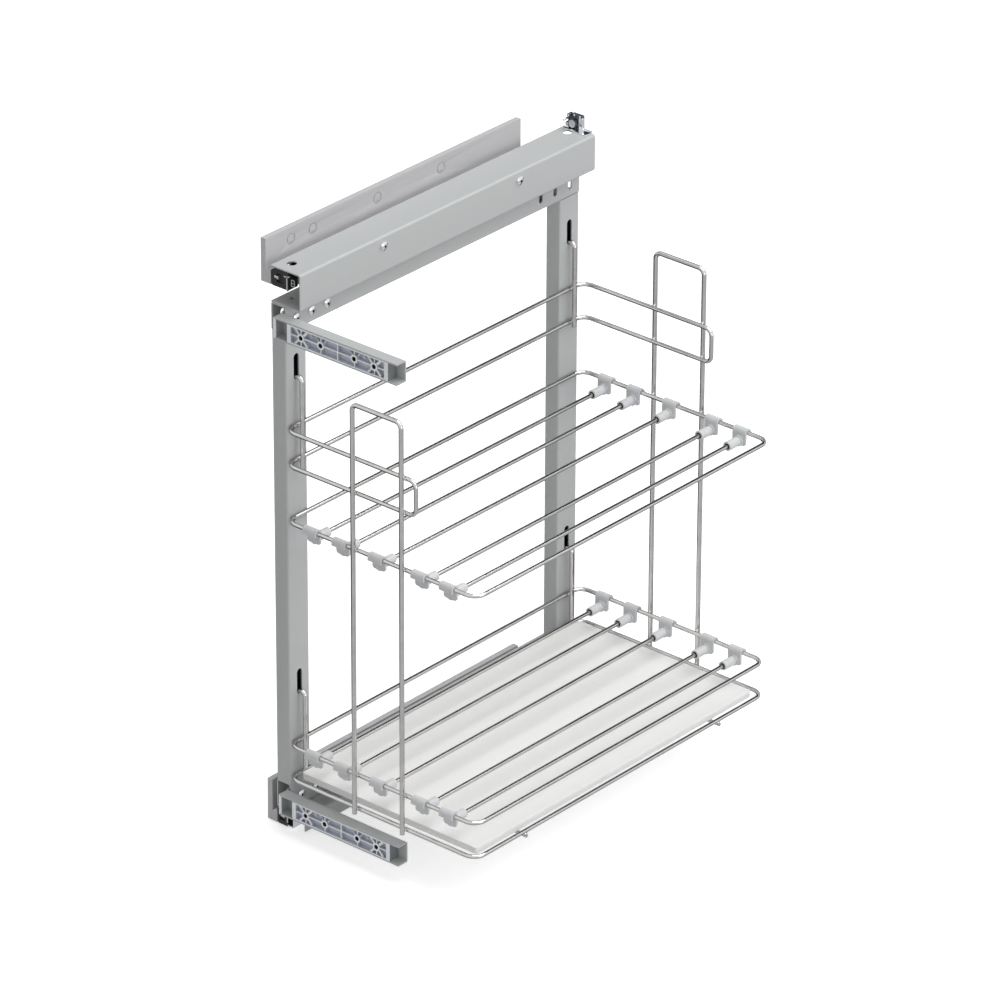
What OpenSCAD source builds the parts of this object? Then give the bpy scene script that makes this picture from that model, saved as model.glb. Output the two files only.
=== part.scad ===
// Pull out larder unit for a kitchen base cabinet.
// X runs from the cabinet wall into the cabinet, Y from front to back, Z up.
// Every piece is placed from the front top left corner of the tube frame.

/* [Wall rails] */
// Length of each wall rail
rail_len = 384; // [340:1:420]
// Height of each wall rail
rail_h = 47; // [42:0.5:54]
// Thickness of the rail's upper plate
rail_plate_t = 6.5; // [4:0.5:9]
// Width of the rail's foot, from the wall to the runner
rail_foot_w = 13; // [11:0.5:20]
// Height of the rail's foot at the runner
rail_foot_h = 16; // [12:0.5:20]
// Height over which the foot tapers into the plate
rail_taper_h = 4; // [1:0.5:8]
// How far the rail's lower edge lies below the top of the cover
rail_drop = 21; // [19:0.5:24]
// How far the rail starts ahead of the tube frame
rail_lead = 0; // [-2:0.5:4]
// First fixing hole, measured from the rail's front end
hole_first = 37; // [30:1:45]
// Pitch of the cabinet's row of holes
hole_pitch = 32; // [24:1:36]
// Diameter of the fixing holes
hole_d = 5; // [3.5:0.1:6.5]
// Height of the fixing holes above the rail's lower edge
hole_up = 34.5; // [30:0.5:38]
// Diameter of the plugs that close the fixing holes
plug_d = 13; // [10:0.5:14]
// Thickness of the plugs
plug_t = 1.6; // [1:0.1:3]

/* [Tube frame] */
// Depth of the tube frame, front to back
frame_depth = 447; // [420:1:480]
// Height of the tube frame
frame_height = 568; // [520:1:640]
// Narrow side of the frame tube
tube_w = 19; // [18:0.5:28]
// Wide side of the frame tube
tube_d = 30; // [28:1:36]
// Wall of the frame tube
tube_wall = 1.5; // [1:0.1:2]
// Outer corner radius of the frame tube
tube_r = 2; // [1.6:0.1:3]
// Width of the hook slots in the posts
slot_w = 7.5; // [6.5:0.1:9]
// Length of the hook slots in the posts
slot_len = 28; // [20:0.5:34]
// Foot of the upper hook slots, below the top of the cover
slot_foot = 124; // [110:0.1:135]
// Height of the foot of the lower hook slots above the lower basket
slot_rise = 51.3; // [40:0.1:60]
// Width of the adjusting slots in the tubes
adjust_w = 5.6; // [5.4:0.1:6.5]
// Length of the adjusting slots in the tubes
adjust_len = 10; // [8:0.5:12]

/* [Cover and skirt] */
// Width of the cover over the upper runner
cover_w = 39; // [37:0.5:50]
// Height of the cover
cover_h = 40; // [34:0.5:46]
// How far the cover and the skirt run past the frame
cover_over = 1; // [0:0.5:4]
// Sheet thickness of the cover and the skirt
sheet_t = 1.5; // [1:0.1:2]
// Outer bend radius of the cover and the skirt
bend_r = 2.6; // [2.2:0.1:4]
// Height of the skirt beside the lower runner
skirt_h = 18; // [15:0.5:24]
// Diameter of the access holes in the top of the cover
access_d = 10; // [6:0.5:14]
// Diameter of the holes in the cover's ledge
ledge_hole_d = 5; // [3:0.1:6]
// Distance of the front holes from the front end of the cover
access_front = 16.5; // [12:0.5:22]
// Distance of the rear holes from the rear end of the cover
access_rear = 14; // [12:0.5:22]

/* [Runners] */
// Height of the centre of the runner below the cover's top
run_drop = 11.5; // [11.4:0.1:13]
// Height of the cabinet member and the drawer member
member_h = 17.6; // [17:0.1:18.4]
// Width of each of these two members
member_w = 9; // [8:0.5:10]
// Wall of the runner's members
member_t = 1.4; // [1.2:0.1:1.8]
// Width of the whole runner
run_w = 23; // [21:0.5:28]
// Diameter of the runner's balls
ball_d = 3; // [2.6:0.1:3.2]
// Depth of the grooves that the balls run in
groove_depth = 0.5; // [0.3:0.05:0.6]
// Length of the cabinet member and the middle member
member_len = 365; // [330:1:380]
// Length of the drawer member behind the end cap
drawer_len = 416; // [400:1:430]
// How far the unit pulls out
pull_travel = 390; // [300:5:400]
// Balls in each row
ball_count = 8; // [4:1:10]
// Pitch of the balls
ball_pitch = 20; // [12:0.5:22]
// Wall of the ball cages
cage_t = 0.8; // [0.6:0.1:1]
// Depth of the black end caps
cap_depth = 14; // [10:0.5:18]

/* [Door brackets] */
// Length of each door bracket
bracket_len = 161; // [150:0.5:190]
// Height of each door bracket
bracket_h = 23; // [18:0.5:26]
// Depth of each door bracket
bracket_d = 14; // [11:0.5:18]
// Thickness of the arm that reaches into the tube
arm_t = 5; // [3:0.1:5]
// Left face of the arm, from the left face of the frame
arm_x = 11.5; // [9:0.5:12]
// Length of the arm inside the tube
arm_len = 74; // [72:0.5:90]
// Length of the die cast insert
insert_len = 132.5; // [126:1:140]
// Distance from the bracket's left end to the insert
insert_in = 17; // [10:0.5:20]
// Distance between the two outer door screws
door_outer = 96; // [90:1:104]
// Distance between the two inner door screws
door_inner = 44; // [38:1:54]
// Diameter of the door screw holes
door_hole_d = 5; // [4:0.1:5.6]
// Outer diameter of the bosses round these holes
boss_d = 9; // [8:0.1:10]
// Thickness of the insert's ribs and walls
rib_t = 1.4; // [1:0.1:2]
// Thickness of the slanting ribs at the outer bosses
star_t = 2.4; // [1.4:0.1:3]
// Depth of the insert's front pockets
pocket_d = 4.5; // [3:0.5:6]
// Thickness of the web behind the front pockets
insert_back_t = 2; // [1.2:0.1:3]

/* [Wire baskets] */
// Width of the baskets between wire centres
basket_w = 250; // [240:1:300]
// Depth of the baskets between wire centres
basket_d = 455.5; // [440:1:470]
// Diameter of the basket wires
wire_d = 4.5; // [3.5:0.1:5]
// Diameter of the wires of the end frames and hooks
heavy_d = 5; // [4:0.1:6]
// Corner radius of the baskets at the wire centre
basket_r = 13; // [10:0.5:18]
// Upper run of the guard hoop, below the top of the cover
hoop_drop = 173; // [160:1:185]
// Distance between the two runs of the guard hoop
hoop_gap = 38; // [30:0.5:45]
// Reach of the guard hoop from the left wires
hoop_reach = 172; // [170:0.5:200]
// Bend radius at the ends of the guard hoop
hoop_r = 8; // [6:0.5:12]
// Upper basket, below the top of the cover
upper_drop = 274.3; // [255:0.1:300]
// Height of the lower basket above the frame's foot
lower_rise = 78.7; // [74:0.1:100]
// Distance from the lower basket to the tray frame
tray_step = 38.5; // [34:0.5:42]
// Distance between the legs of the end frames
end_w = 64; // [56:1:72]
// Top of the end frames, below the top of the cover
end_drop = 111.5; // [95:1:130]
// Bend radius of the end frames
end_r = 7; // [5:0.5:10]
// Length of the end frames' legs below the tray frame
end_tail = 4.5; // [1:0.5:6]
// Length of the upper front hook wire below the guard hoop
hook_tail_front = 13.5; // [4:0.5:20]
// Length of the upper rear hook wire below the guard hoop
hook_tail_rear = 5; // [4:0.5:20]

/* [Dividers] */
// Diameter of the divider rods
rod_d = 4.4; // [3.5:0.1:5]
// How far the rods lie below the basket wires
rod_drop = 9; // [8:0.1:10]
// Width of the clips
clip_w = 17; // [14:0.5:18]
// Wall of the clips
clip_t = 2.2; // [1.6:0.1:2.6]
// Outer diameter of the clips' sockets
socket_d = 10; // [9:0.1:11]
// Length of the clips' sockets
socket_len = 19; // [14:0.5:24]
// Diameter of the sockets' open mouths
mouth_d = 6.8; // [6:0.1:7.6]
// Depth of the sockets' open mouths
mouth_depth = 4; // [2:0.5:6]

/* [Tray] */
// Thickness of the tray board
tray_t = 7.5; // [4:0.5:9]
// Gap from the side wires' centres to the tray
tray_side_gap = 8; // [5:0.5:12]
// Gap from the end wires' centres to the tray
tray_end_gap = 10; // [6:0.5:14]
// Diameter of the bars that carry the tray
bar_d = 4; // [3:0.1:4.5]
// Distance of these bars from the ends of the basket
bar_in = 75; // [60:1:100]
// Corner radius of the tray board
tray_r = 3; // [2:0.5:8]

/* [Rear catch] */
// Width of the catch plate
catch_w = 32; // [28:0.5:36]
// Height of the catch above the cover
catch_up = 17; // [16:0.5:24]
// Sheet thickness of the catch
catch_t = 2; // [1.5:0.1:2.5]
// Depth of the catch over the cover
catch_depth = 12; // [9:0.5:15]
// Head diameter of the adjusting screw
catch_head_d = 8.6; // [7:0.1:9]

/* [Hidden] */
$fn = 48;
// Clearances and overruns
cut = 1; // overrun of a cut past a face
seat_gap = 0.1; // pieces of one body that lie against each other
weld_gap = 0.05; // crossing wires at their welds
hang_gap = 0.3; // curved faces of pieces that move apart
ball_gap = 0.2; // ball to groove and ball to cage
slide_gap = 0.3; // clip to wire
hook_gap = 0.6; // hook wire above the foot of its slot
rod_fit = 0.05; // rod in its socket, on the radius

// The tube frame and its levels, from the top of the cover
tube_top = -cover_h;
tube_foot = tube_top - frame_height;
cover_len = frame_depth + cover_over;
low_shift = -(cover_h + frame_height);
bracket_shift = -(frame_height - tube_d);
adjust_shares = [1, 2.53, 4.03];
adjust_in = 15;
adjust_drop = 17;

// Origin: the middle of the front wall holes, on the wall
hole_z = hole_up - rail_drop;
datum_x = rail_foot_w;
datum_y = rail_lead - hole_first - hole_pitch / 2;
datum_z = -(hole_z + low_shift / 2);
hole_shares = [0, 1, 4, 7];

// Runner section, from its own centre
ball_out = member_h / 2 - member_t + groove_depth - ball_gap - ball_d / 2;
race_out = member_h / 2 - member_t;
cap_gap = 2; // end cap to the ends of the members
cage_in = 12; // front of the outer cage behind its quarter of the travel
race_in = 2 * ball_out - race_out;
outer_ball_x = member_w * 0.6;
inner_ball_x = run_w - outer_ball_x;
middle_x = member_w * 0.45;
cage_x = member_t + (middle_x - member_t - cage_t) / 2;
member_y = cap_depth + cap_gap;
middle_travel = pull_travel / 2;
cage_y = member_y + middle_travel / 2 + cage_in;
inner_cage_y = cage_y + cap_depth;
cage_len = (ball_count - 1) * ball_pitch + 2 * ball_d;
cap_h = 19.6;
cap_bevel = 4;
screw_rise = 1;
lip_h = run_drop - member_h / 2 - hang_gap;
web_screw_shares = [0.274, 0.735];
sleeve_d = 10;
screw_d = 5;
screw_head_d = 9.4;
screw_head_h = 2.6;
screw_clear = 0.2;
drive_d = 3;
drive_depth = 1.4;
arm_boss_d = 9;

// The baskets
left_x = tube_w + hang_gap + wire_d / 2;
near_y = (frame_depth - basket_d) / 2;
far_y = near_y + basket_d;
mid_x = left_x + basket_w / 2;
lower_drop = cover_h + frame_height - lower_rise;
slot_low = lower_drop - slot_rise;
tray_drop = lower_drop + tray_step;
cross_gap = wire_d / 2 + heavy_d / 2 + weld_gap;
hook_x = left_x + cross_gap;
slot_in = tube_d / 2;
hook_r = 5;
hook_drop_x = tube_w - tube_wall - hang_gap - hook_r;
hook_fall = 12;
hook_z = -slot_foot + hook_gap + heavy_d / 2;
divider_shares = [0.135, 0.29, 0.482, 0.707, 0.856];
bar_over = 3;
bar_z = -tray_drop - wire_d / 2 - weld_gap - bar_d / 2;
tray_z = bar_z + bar_d / 2 + hang_gap;

// Clip section, from the centre of the basket wire
clip_in = wire_d / 2 + slide_gap;
clip_out = clip_in + clip_t;
lip_over = 1;
clip_lip = wire_d / 2 + lip_over;
tail_r = 3;
tail_h = rod_drop + socket_d / 2;
socket_floor = 1;
rod_end_gap = 3;
rod_y = clip_out + socket_floor + rod_end_gap;

// Die cast insert
insert_h = bracket_h - 2 * sheet_t - 2 * seat_gap;
insert_x = arm_x + insert_in + arm_t;
insert_mid = insert_x + insert_len / 2;
insert_d = bracket_d - sheet_t - sheet_t / 2;
end_wall_t = 5;
pin_d = 3;

// Puts a piece drawn from the frame's corner into the part's own frame
module placed() {
    translate([datum_x, datum_y, datum_z]) children();
}

module rail_paint() {
    color("#bebcbd") children();
}

module frame_paint() {
    color("#bcbfbe") children();
}

module zinc() {
    color("#c9ccd0") children();
}

module chrome() {
    color("#d5d6d8") children();
}

// Extrudes an outline drawn in X and Z along +Y
module along_y(length) {
    rotate([90, 0, 0]) mirror([0, 0, 1]) linear_extrude(length) children();
}

// Rod of a given diameter along +X, +Y or +Z
module rod_along(axis, length, d) {
    turn = axis == "x" ? [0, 90, 0] : axis == "y" ? [-90, 0, 0] : [0, 0, 0];
    rotate(turn) cylinder(h = length, d = d);
}

// Quarter bend of wire round the origin, from +X to +Y
module quarter_bend(r, d) {
    rotate_extrude(angle = 90) translate([r, 0]) circle(d = d);
}

// Rectangle with round corners, from its lower left corner
module round_rect(w, h, r) {
    union() {
        translate([r, 0]) square([w - 2 * r, h]);
        translate([0, r]) square([w, h - 2 * r]);
        for (x = [r, w - r], y = [r, h - r]) translate([x, y]) circle(r = r);
    }
}

// Section of the frame tube, w wide and h high
module tube_section(w, h) {
    difference() {
        round_rect(w, h, tube_r);
        translate([tube_wall, tube_wall])
            round_rect(w - 2 * tube_wall, h - 2 * tube_wall, tube_r - tube_wall);
    }
}

// Slot with round ends, centred on Y and Z, that cuts along X
module slot_cut(x, length, width, high) {
    translate([x, 0, 0]) {
        translate([0, -width / 2, -(high - width) / 2]) cube([length, width, high - width]);
        for (z = [-1, 1]) translate([0, 0, z * (high - width) / 2]) rod_along("x", length, width);
    }
}

// Wall rail: a plate with a thicker foot that carries the runner
module rail(shift) {
    rail_paint() placed() translate([-rail_foot_w, -rail_lead, shift - rail_drop]) difference() {
        along_y(rail_len) polygon([
            [0, 0], [rail_foot_w, 0], [rail_foot_w, rail_foot_h],
            [rail_plate_t, rail_foot_h - rail_taper_h], [rail_plate_t, rail_h], [0, rail_h]
        ]);
        for (s = hole_shares) translate([0, hole_first + s * hole_pitch, hole_up]) {
            translate([-cut, 0, 0]) rod_along("x", rail_plate_t + 2 * cut, hole_d);
            translate([rail_plate_t - plug_t, 0, 0]) rod_along("x", plug_t + cut, plug_d);
        }
    }
}

// Plugs that close the fixing holes of both rails
module rail_plugs() {
    rail_paint() placed()
        for (shift = [0, low_shift], s = hole_shares)
            translate([-rail_foot_w, -rail_lead + hole_first + s * hole_pitch, shift - rail_drop + hole_up])
                rail_plug();
}

// One plug, with a rim groove and a small prising hole
module rail_plug() {
    plug_fit = plug_d - 4 * weld_gap;
    translate([rail_plate_t - plug_t, 0, 0]) difference() {
        rod_along("x", plug_t, plug_fit);
        translate([plug_t / 2, 0, 0]) difference() {
            rod_along("x", plug_t, plug_fit - plug_t);
            translate([-cut, 0, 0]) rod_along("x", plug_t + 2 * cut, plug_fit - 2 * plug_t);
        }
        translate([plug_t / 2, 0, -plug_fit / 4]) rod_along("x", plug_t, plug_t);
    }
}

// C section of the two outer members, open to +X, with ball grooves
module member_section() {
    difference() {
        translate([0, -member_h / 2]) round_rect(member_w, member_h, member_t);
        translate([member_t, -race_out]) square([member_w, 2 * race_out]);
        for (z = [-1, 1]) translate([outer_ball_x, z * ball_out]) circle(d = ball_d + 2 * ball_gap);
    }
}

// H section of the middle member
module middle_section() {
    difference() {
        translate([middle_x, -race_in]) square([run_w - 2 * middle_x, 2 * race_in]);
        for (side = [0, 1]) translate([side * run_w, 0]) mirror([side, 0])
            translate([middle_x - cut, member_t - race_in])
                square([run_w / 2 - middle_x - member_t / 2 + cut, 2 * (race_in - member_t)]);
        for (x = [outer_ball_x, inner_ball_x], z = [-1, 1])
            translate([x, z * ball_out]) circle(d = ball_d + 2 * ball_gap);
    }
}

// Cabinet member, with pressed lugs that hold it to the rail
module cabinet_member(shift) {
    lug_d = member_h / 3;
    lug_h = member_t / 2;
    zinc() placed() translate([0, member_y, shift - run_drop]) {
        along_y(member_len) member_section();
        for (share = [0.1, 0.5, 0.9])
            translate([member_t, member_len * share, 0]) rod_along("x", lug_h, lug_d);
    }
}

module middle_member(shift) {
    zinc() placed() translate([0, member_y, shift - run_drop]) along_y(member_len) middle_section();
}

// Drawer member, with holes for the screws from the cover or the skirt
module drawer_member(shift, front, length) {
    zinc() placed() translate([0, front, shift - run_drop]) difference() {
        along_y(length) translate([run_w, 0]) mirror([1, 0]) member_section();
        for (share = web_screw_shares)
            translate([run_w - member_t - cut, cover_len * share - front, screw_rise])
                rod_along("x", member_t + 2 * cut, screw_d + screw_clear);
    }
}

// Ball cage: a U strip with one round pocket for each ball
module ball_cage(shift, y, inner) {
    strip_w = outer_ball_x + ball_d / 2 + cage_t - cage_x;
    color("#d9d6cb") placed() translate([inner ? run_w : 0, y, shift - run_drop]) mirror([inner ? 1 : 0, 0, 0])
        difference() {
            along_y(cage_len) difference() {
                translate([cage_x, -ball_out - cage_t / 2]) square([strip_w, 2 * ball_out + cage_t]);
                translate([cage_x + cage_t, -ball_out + cage_t / 2])
                    square([strip_w, 2 * ball_out - cage_t]);
            }
            for (i = [0 : ball_count - 1])
                translate([outer_ball_x, ball_d + i * ball_pitch, -member_h / 2])
                    cylinder(h = member_h, d = ball_d + 2 * ball_gap);
        }
}

module ball_set(shift, y, inner) {
    x = inner ? inner_ball_x : outer_ball_x;
    color("#e3e5e8") placed()
        for (i = [0 : ball_count - 1], z = [-1, 1])
            translate([x, y + ball_d + i * ball_pitch, shift - run_drop + z * ball_out]) sphere(d = ball_d);
}

// Front outline of the end cap, with its bevelled left corners
module cap_outline(w) {
    half = cap_h / 2;
    polygon([
        [0, -half + cap_bevel / 4], [cap_bevel / 2, -half], [w, -half], [w, half],
        [cap_bevel + cap_bevel / 2, half], [0, half - cap_bevel]
    ]);
}

// Black end cap on the front of the drawer member, with its sprung wedge
module runner_cap(shift, w, tongues) {
    inset = cap_depth / 6;
    tongue_w = member_w - member_t - seat_gap;
    tongue_z = race_in + hang_gap;
    color("#1d1d1f") placed() translate([0, 0, shift - run_drop]) {
        difference() {
            translate([seat_gap, seat_gap, 0]) along_y(cap_depth - seat_gap) cap_outline(w - seat_gap);
            // pocket and wedge in the front
            translate([w / 2 - tongue_w / 2, -cut, -cap_h / 4]) cube([tongue_w, cut + inset, cap_h / 2]);
        }
        translate([w / 2 - tongue_w / 4, inset / 2, 0]) rotate([0, 45, 0])
            translate([-inset, 0, -inset]) cube([2 * inset, inset, 2 * inset]);
        if (tongues) for (up = [0, 1]) mirror([0, 0, up])
            translate([run_w - member_w, cap_depth - seat_gap, tongue_z])
                cube([tongue_w, cap_depth, race_out - seat_gap - tongue_z]);
    }
}

// Cover: a C channel over the upper runner, seated on the top tube
module cover_channel() {
    inner_r = bend_r - sheet_t;
    frame_paint() placed() difference() {
        along_y(cover_len) translate([0, -cover_h]) difference() {
            union() {
                square([bend_r + cut, sheet_t]);
                translate([0, cover_h - sheet_t]) square([bend_r + cut, sheet_t]);
                translate([0, cover_h - lip_h]) square([sheet_t, lip_h]);
                translate([bend_r, 0]) square([cover_w - 2 * bend_r, cover_h]);
                translate([bend_r, bend_r]) square([cover_w - bend_r, cover_h - 2 * bend_r]);
                for (z = [bend_r, cover_h - bend_r]) translate([cover_w - bend_r, z]) circle(r = bend_r);
            }
            translate([-cut, sheet_t]) difference() {
                round_rect(cover_w - sheet_t + cut, cover_h - 2 * sheet_t, inner_r);
                translate([0, cover_h - sheet_t - lip_h]) square([sheet_t + cut, lip_h]);
            }
        }
        for (y = [access_front, cover_len - access_rear]) translate([tube_w * 0.7, y, 0]) {
            translate([0, 0, -sheet_t - cut]) cylinder(h = sheet_t + 2 * cut, d = access_d);
            translate([0, 0, -cover_h - cut]) cylinder(h = sheet_t + 2 * cut, d = ledge_hole_d);
        }
        web_screw_holes(0);
    }
}

// Skirt: an angle under the bottom tube, beside the lower runner
module skirt_channel() {
    inner_r = bend_r - sheet_t;
    frame_paint() placed() difference() {
        translate([0, 0, low_shift]) along_y(cover_len) difference() {
            union() {
                translate([0, -sheet_t]) square([cover_w - bend_r, sheet_t]);
                translate([cover_w - sheet_t - inner_r, -skirt_h])
                    square([sheet_t + inner_r, skirt_h - bend_r]);
                translate([cover_w - bend_r, -bend_r]) circle(r = bend_r);
            }
            translate([0, -skirt_h - cut]) square([cover_w - sheet_t, skirt_h + cut - sheet_t - inner_r]);
            translate([0, -sheet_t - inner_r])
                square([cover_w - sheet_t - inner_r, inner_r]);
            translate([cover_w - bend_r, -bend_r]) circle(r = inner_r);
        }
        web_screw_holes(low_shift);
    }
}

// Holes for the runner screws in the web of the cover or the skirt
module web_screw_holes(shift) {
    for (share = web_screw_shares)
        translate([cover_w - sheet_t - cut, cover_len * share, shift - run_drop + screw_rise])
            rod_along("x", sheet_t + 2 * cut, screw_d + screw_clear);
}

// Top or bottom tube of the frame, with slots near both ends
module frame_tube(shift) {
    frame_paint() placed() translate([0, 0, tube_top + shift - tube_d]) difference() {
        along_y(frame_depth) tube_section(tube_w, tube_d);
        for (s = adjust_shares, far = [0, 1])
            translate([0, far == 0 ? s * adjust_in : frame_depth - s * adjust_in, tube_d - adjust_drop])
                slot_cut(-cut, tube_w + 2 * cut, adjust_w, adjust_len);
        if (shift == 0)
            for (y = [access_front, cover_len - access_rear])
                translate([tube_w * 0.7, y, tube_d - tube_wall - cut])
                    cylinder(h = tube_wall + 2 * cut, d = ledge_hole_d);
    }
}

// Post of the frame, with two hook slots in its right wall
module frame_post(y) {
    length = frame_height - 2 * tube_d;
    frame_paint() placed() translate([0, y, tube_foot + tube_d]) difference() {
        linear_extrude(length) tube_section(tube_w, tube_d);
        for (z = [-slot_foot, -slot_low])
            translate([0, slot_in, z - tube_foot - tube_d + slot_len / 2])
                slot_cut(tube_w / 2, tube_w, slot_w, slot_len);
    }
}

// Door bracket: a channel open to the front, on an arm inside the tube
module door_bracket(shift) {
    arm_h = tube_d - 2 * tube_wall - 2 * tube_r;
    plate_h = bracket_h;
    boss_l = tube_w - tube_wall - arm_x - arm_t;
    inner_r = sheet_t / 2;
    frame_paint() placed() translate([arm_x, 0, tube_top - tube_d + shift]) difference() {
        union() {
            // the channel
            translate([arm_t, -bracket_d, 0]) difference() {
                rotate([90, 0, 90]) linear_extrude(bracket_len) difference() {
                    union() {
                        square([bracket_d - inner_r * 2, bracket_h]);
                        translate([0, inner_r * 2]) square([bracket_d, bracket_h - inner_r * 4]);
                        for (z = [inner_r * 2, bracket_h - inner_r * 2])
                            translate([bracket_d - inner_r * 2, z]) circle(r = inner_r * 2);
                    }
                    translate([-cut, sheet_t])
                        round_rect(bracket_d - sheet_t + cut, bracket_h - 2 * sheet_t, inner_r);
                }
            }
            // the arm, first beside the channel and then inside the tube
            translate([0, -bracket_d, 0]) cube([arm_t, bracket_d, plate_h]);
            translate([0, -sheet_t, tube_wall + tube_r]) cube([arm_t, arm_len + sheet_t, arm_h - tube_r]);
            for (s = adjust_shares) translate([0, s * adjust_in, tube_d - adjust_drop])
                rod_along("x", arm_t + boss_l - seat_gap, arm_boss_d);
        }
        for (s = adjust_shares) translate([-cut, s * adjust_in, tube_d - adjust_drop])
            rod_along("x", arm_t + boss_l + 2 * cut, screw_d + screw_clear);
    }
}

// Die cast insert of a door bracket: rim, web, ribs, bosses and pins
module door_insert(shift) {
    places = [-door_outer / 2, -door_inner / 2, door_inner / 2, door_outer / 2];
    z0 = tube_top - tube_d + sheet_t + seat_gap + shift;
    mid_h = insert_h / 2;
    rib_d = insert_d - rib_t;
    zinc() placed() translate([insert_mid, -bracket_d, z0]) {
        difference() {
            union() {
                // web between the front and the rear pockets
                translate([-insert_len / 2, pocket_d, 0]) cube([insert_len, insert_back_t, insert_h]);
                // rim
                difference() {
                    translate([-insert_len / 2, 0, 0]) cube([insert_len, insert_d, insert_h]);
                    translate([-insert_len / 2 + end_wall_t, -cut, rib_t])
                        cube([insert_len - 2 * end_wall_t, insert_d + 2 * cut, insert_h - 2 * rib_t]);
                }
                // long rib and middle rib
                translate([-insert_len / 2, rib_t / 2, mid_h - rib_t / 2]) cube([insert_len, rib_d, rib_t]);
                translate([-rib_t / 2, rib_t / 2, 0]) cube([rib_t, rib_d, insert_h]);
                // a boss with a cross rib at each hole
                for (x = places) translate([x, 0, mid_h]) {
                    rod_along("y", insert_d, boss_d);
                    translate([-rib_t / 2, rib_t / 2, -mid_h]) cube([rib_t, rib_d, insert_h]);
                }
                // slanting ribs through the outer bosses
                for (side = [-1, 1], turn = [-1, 1])
                    translate([side * door_outer / 2, rib_t / 2, mid_h]) slanting_rib(turn, rib_d);
                // short wings over the inner bosses
                for (side = [-1, 1], turn = [-1, 1])
                    translate([side * door_inner / 2, rib_t, mid_h]) rotate([0, turn * 45, 0])
                        translate([-rib_t / 2, 0, 0]) cube([rib_t, pocket_d, mid_h]);
                // ejector pins between the bosses
                for (side = [-1, 1])
                    translate([side * (door_outer + door_inner) / 4, pocket_d / 3, insert_h * 0.75])
                        rod_along("y", pocket_d, pin_d);
            }
            for (x = places) translate([x, -cut, mid_h]) rod_along("y", insert_d + 2 * cut, door_hole_d);
        }
    }
}

// Rib through the centre of an outer boss, from rim to rim at 45 degrees
module slanting_rib(turn, depth) {
    reach = (insert_h - rib_t) / sqrt(2) - star_t / 2;
    rotate([0, turn * 45, 0]) translate([-star_t / 2, 0, -reach]) cube([star_t, depth, 2 * reach]);
}

// Spacer sleeves between the drawer members and the cover or skirt
module runner_sleeves() {
    gap_w = cover_w - sheet_t - run_w;
    zinc() placed()
        for (shift = [0, low_shift], share = web_screw_shares)
            translate([run_w, cover_len * share, shift - run_drop + screw_rise]) difference() {
                rod_along("x", gap_w, sleeve_d);
                translate([-cut, 0, 0]) rod_along("x", gap_w + 2 * cut, screw_d + 2 * screw_clear);
            }
}

// Button head screw with its head's seat at the origin, pointing along -X
module button_screw(length) {
    difference() {
        union() {
            rotate([0, 90, 0]) rotate_extrude() intersection() {
                translate([0, screw_head_h - screw_head_d]) circle(d = 2 * screw_head_d);
                square([screw_head_d / 2, screw_head_h]);
            }
            translate([-length, 0, 0]) rod_along("x", length + screw_head_h / 2, screw_d);
        }
        translate([screw_head_h - drive_depth, 0, 0]) rotate([0, 90, 0])
            cylinder(h = drive_depth + cut, d = drive_d, $fn = 6);
    }
}

// Screws of the runners and of the door brackets
module frame_screws() {
    runner_l = cover_w - run_w + member_t;
    bracket_l = tube_w - arm_x;
    color("#d9dadd") placed() {
        for (shift = [0, low_shift], share = web_screw_shares)
            translate([cover_w, cover_len * share, shift - run_drop + screw_rise]) button_screw(runner_l);
        for (shift = [0, bracket_shift], s = adjust_shares)
            translate([tube_w, s * adjust_in, tube_top + shift - adjust_drop]) button_screw(bracket_l);
    }
}

// Catch on the rear end of the cover, with its upright, lid and hook
module catch_plate() {
    ring_d = catch_up * 0.45;
    post_w = catch_w / 6;
    post_x = catch_t + catch_w * 0.58;
    lid_w = catch_w / 2;
    rise_y = cover_len - catch_depth + catch_t;
    wall_top = catch_up * 0.35;
    zinc() placed() {
        // base on the cover and wall behind its end
        translate([catch_t, rise_y, 0]) cube([catch_w, catch_depth - catch_t, catch_t / 2]);
        translate([catch_t, cover_len, 0]) cube([catch_w, catch_t, wall_top]);
        translate([post_x + post_w - lid_w, cover_len, 0]) cube([lid_w, catch_t, catch_up]);
        // two uprights and the lid on them
        for (y = [rise_y, cover_len - catch_t]) translate([post_x, y, 0]) cube([post_w, catch_t, catch_up]);
        translate([post_x + post_w - lid_w, rise_y, catch_up - catch_t])
            cube([lid_w, catch_depth - catch_t, catch_t]);
        // ring at the left
        translate([catch_t * 2, cover_len, wall_top]) difference() {
            union() {
                rod_along("y", catch_t, ring_d);
                translate([-ring_d / 2, 0, -wall_top]) cube([ring_d, catch_t, wall_top]);
            }
            translate([0, -cut, 0]) rod_along("y", catch_t + 2 * cut, ring_d / 2);
        }
    }
}

// Adjusting screw of the catch
module catch_screw() {
    head_z = catch_t + catch_head_d / 2 + seat_gap;
    color("#8b8d90") placed()
        translate([catch_w * 0.39, cover_len, head_z]) difference() {
            union() {
                translate([0, -catch_depth / 2, 0]) rod_along("y", catch_depth / 2 - catch_depth / 6, catch_head_d);
                translate([0, -catch_depth / 6 - seat_gap, 0]) rod_along("y", catch_depth / 6, screw_d);
            }
            translate([0, -catch_depth / 2 - cut, 0]) rotate([-90, 0, 0])
                cylinder(h = drive_depth + cut, d = drive_d, $fn = 6);
        }
}

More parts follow.
